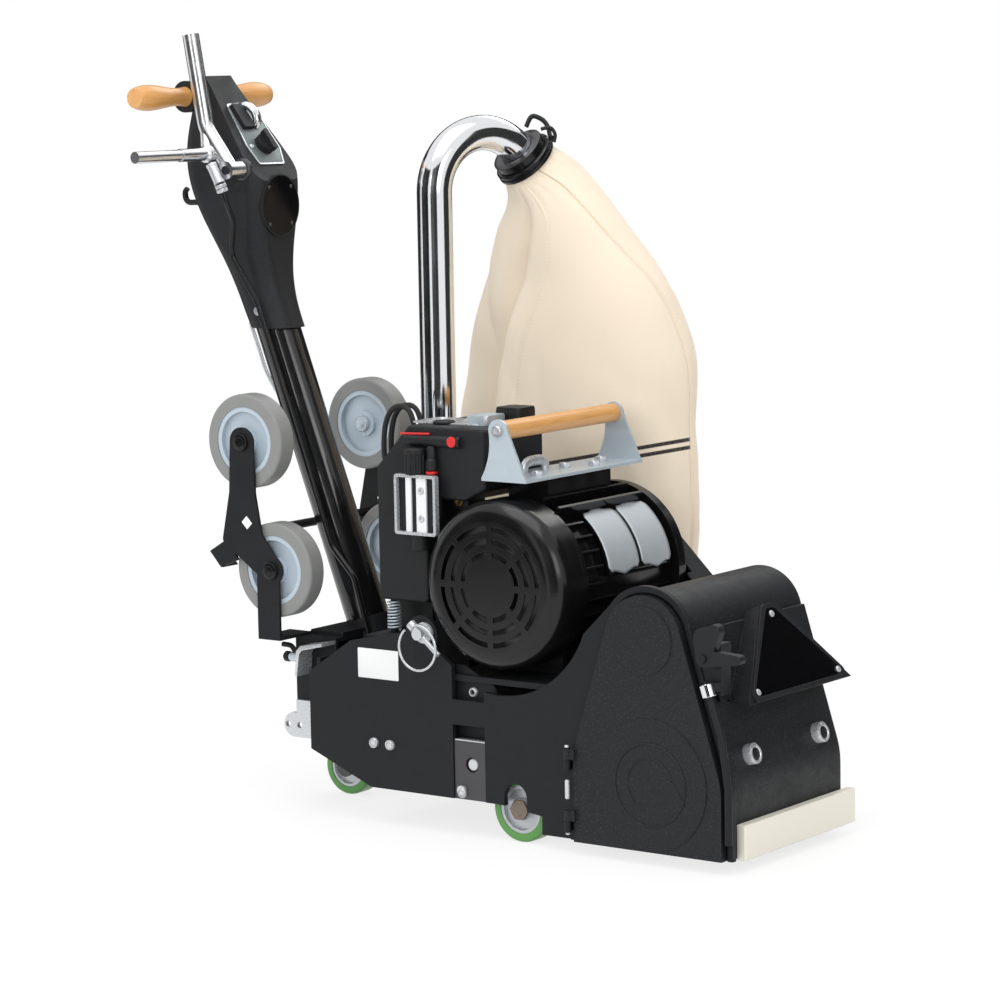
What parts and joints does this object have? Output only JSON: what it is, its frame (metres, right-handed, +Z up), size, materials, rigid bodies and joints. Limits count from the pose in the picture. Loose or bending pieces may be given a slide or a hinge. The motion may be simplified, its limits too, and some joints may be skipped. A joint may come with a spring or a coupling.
{
  "type": "walk-behind floor belt sander",
  "caption": "Walk-behind drum and belt floor sander with side motor, suction pipe and cloth dust bag, lift lever, hinged belt door, caster and tip-back transport wheels.",
  "frame": {"origin": "the point of the floor straight below the sanding drum's axis, on the chassis mid-plane", "axes": "+X forwards, towards the bumper; +Y to the machine's left, the belt guard's side; +Z up"},
  "size_m": [1.0082, 0.6188, 1.0551],
  "materials": {
    "black_powder": "satin",
    "black_gloss": "gloss",
    "black_plastic": "matte",
    "bright_chrome": "polished",
    "zinc": "satin",
    "steel": "satin",
    "alloy": "satin",
    "iron": "matte",
    "pale_wood": "satin",
    "canvas": "matte",
    "abrasive": "matte",
    "bumper_pale": "matte",
    "belt_rubber": "matte",
    "grey_tread": "matte",
    "green_tread": "satin",
    "pale_hub": "satin",
    "knob_plastic": "gloss"
  },
  "bodies": {
    "chassis": {"abrasive_belt": "abrasive", "bag_collar": "black_plastic", "base_plate": "black_powder", "bearings": "steel", "belt_guard": "black_powder", "cable_loops": "black_plastic", "carry_bracket": "zinc", "carry_grip": "pale_wood", "control_box": "black_plastic", "cross_handle": "pale_wood", "drive_belts": "belt_rubber", "drum_housing": "black_powder", "dust_bag": "canvas", "fan_cover": "black_gloss", "far_side_panel": "black_powder", "fasteners": "zinc", "front_bumper": "bumper_pale", "front_hood": "black_plastic", "handle_head": "black_plastic", "handle_tube": "black_gloss", "hitch_plate": "zinc", "latch_plate": "zinc", "latch_rod": "black_powder", "motor_base": "black_powder", "motor_frame": "black_gloss", "near_side_panel": "black_powder", "rear_frame": "black_powder", "suction_housing": "black_powder", "suction_pipe": "bright_chrome", "tension_spring": "zinc", "transport_arms": "black_powder"},
    "lift_lever": {"lift_lever": "bright_chrome"},
    "lift_rod": {"lift_rod": "zinc"},
    "wheel_crank": {"wheel_crank": "black_powder"},
    "near_front_wheel": {"near_front_tyre": "green_tread", "near_front_hub": "alloy"},
    "far_front_wheel": {"far_front_tyre": "green_tread", "far_front_hub": "alloy"},
    "caster_fork": {"caster_fork": "zinc"},
    "caster_wheel": {"caster_tyre": "green_tread", "caster_hub": "alloy"},
    "upper_near_wheel": {"upper_near_transport_tyre": "grey_tread", "upper_near_transport_hub": "pale_hub"},
    "upper_far_wheel": {"upper_far_transport_tyre": "grey_tread", "upper_far_transport_hub": "pale_hub"},
    "lower_near_wheel": {"lower_near_transport_tyre": "grey_tread", "lower_near_transport_hub": "pale_hub"},
    "lower_far_wheel": {"lower_far_transport_tyre": "grey_tread", "lower_far_transport_hub": "pale_hub"},
    "belt_door": {"belt_door": "black_powder"},
    "latch_lever": {"latch_lever": "black_powder"},
    "drum": {"sanding_drum": "alloy", "drum_shaft": "steel"},
    "roller": {"tension_roller": "alloy"},
    "rotor": {"motor_rotor": "iron"},
    "impeller": {"impeller": "alloy"},
    "rotary_knob": {"rotary_knob": "knob_plastic"},
    "power_rocker": {"power_rocker": "knob_plastic"},
    "lock_pin": {"lock_pin": "zinc"},
    "lock_ring": {"lock_ring": "bright_chrome"}
  },
  "joints": [
    {"name": "lift_lever_swing", "type": "hinge", "parent": "chassis", "child": "lift_lever", "pos_m": [-0.73423, -0.072, 0.86803], "axis": [0, -1, 0], "range_deg": [0, 14]},
    {"name": "lift_rod_push", "type": "slide", "parent": "chassis", "child": "lift_rod", "axis": [0.3486, 0, -0.9373], "range_m": [0, 0.0064]},
    {"name": "wheel_crank_turn", "type": "hinge", "parent": "chassis", "child": "wheel_crank", "pos_m": [-0.288, 0, 0.097], "axis": [0, -1, 0], "range_deg": [0, 12.1]},
    {"name": "near_front_wheel_roll", "type": "hinge", "parent": "wheel_crank", "child": "near_front_wheel", "pos_m": [-0.219, -0.117, 0.0435], "axis": [0, 1, 0], "continuous": true},
    {"name": "far_front_wheel_roll", "type": "hinge", "parent": "wheel_crank", "child": "far_front_wheel", "pos_m": [-0.219, 0.117, 0.0435], "axis": [0, 1, 0], "continuous": true},
    {"name": "caster_swivel", "type": "hinge", "parent": "chassis", "child": "caster_fork", "pos_m": [-0.585, 0, 0.13], "axis": [0, 0, 1], "continuous": true},
    {"name": "caster_roll", "type": "hinge", "parent": "caster_fork", "child": "caster_wheel", "pos_m": [-0.601, 0, 0.039], "axis": [0, 1, 0], "continuous": true},
    {"name": "upper_near_wheel_roll", "type": "hinge", "parent": "chassis", "child": "upper_near_wheel", "pos_m": [-0.663, -0.1295, 0.504], "axis": [0, 1, 0], "continuous": true},
    {"name": "upper_far_wheel_roll", "type": "hinge", "parent": "chassis", "child": "upper_far_wheel", "pos_m": [-0.663, 0.1295, 0.504], "axis": [0, 1, 0], "continuous": true},
    {"name": "lower_near_wheel_roll", "type": "hinge", "parent": "chassis", "child": "lower_near_wheel", "pos_m": [-0.616, -0.1295, 0.331], "axis": [0, 1, 0], "continuous": true},
    {"name": "lower_far_wheel_roll", "type": "hinge", "parent": "chassis", "child": "lower_far_wheel", "pos_m": [-0.616, 0.1295, 0.331], "axis": [0, 1, 0], "continuous": true},
    {"name": "belt_door_swing", "type": "hinge", "parent": "chassis", "child": "belt_door", "pos_m": [-0.1255, -0.1575, 0.1], "axis": [0, 0, -1], "range_deg": [0, 110]},
    {"name": "latch_lever_turn", "type": "hinge", "parent": "chassis", "child": "latch_lever", "pos_m": [0.084, -0.15, 0.273], "axis": [0, -1, 0], "range_deg": [0, 45]},
    {"name": "motor_spin", "type": "hinge", "parent": "chassis", "child": "rotor", "pos_m": [-0.249, 0, 0.336], "axis": [0, 1, 0], "continuous": true},
    {"name": "drum_spin", "type": "hinge", "parent": "chassis", "child": "drum", "pos_m": [0, 0, 0.1], "axis": [0, 1, 0], "continuous": true},
    {"name": "roller_spin", "type": "hinge", "parent": "chassis", "child": "roller", "pos_m": [-0.009, 0, 0.287], "axis": [0, 1, 0], "continuous": true},
    {"name": "impeller_spin", "type": "hinge", "parent": "chassis", "child": "impeller", "pos_m": [-0.425, 0, 0.24], "axis": [0, 1, 0], "continuous": true},
    {"name": "rotary_knob_turn", "type": "hinge", "parent": "chassis", "child": "rotary_knob", "pos_m": [-0.74231, 0.005, 0.89797], "axis": [0.7986, 0, 0.6018], "range_deg": [0, 90]},
    {"name": "power_rocker_push", "type": "slide", "parent": "chassis", "child": "power_rocker", "axis": [-0.7986, 0, -0.6018], "range_m": [0, 0.003], "stiffness_N_per_m": 900},
    {"name": "lock_pin_pull", "type": "slide", "parent": "chassis", "child": "lock_pin", "axis": [-0.7604, 0, 0.6494], "range_m": [0, 0.05]},
    {"name": "lock_ring_swing", "type": "hinge", "parent": "lock_pin", "child": "lock_ring", "pos_m": [-0.37103, -0.1645, 0.27642], "axis": [-0.8988, 0, -0.4384], "range_deg": [0, 150]}
  ],
  "couplings": [
    {"joint": "lift_rod_push", "follows": "lift_lever_swing", "m_per_rad": 0.025783},
    {"joint": "wheel_crank_turn", "follows": "lift_lever_swing", "ratio": 0.85714},
    {"joint": "drum_spin", "follows": "motor_spin", "ratio": 1.1594},
    {"joint": "roller_spin", "follows": "motor_spin", "ratio": 3.0492},
    {"joint": "impeller_spin", "follows": "motor_spin", "ratio": 2.0162}
  ]
}
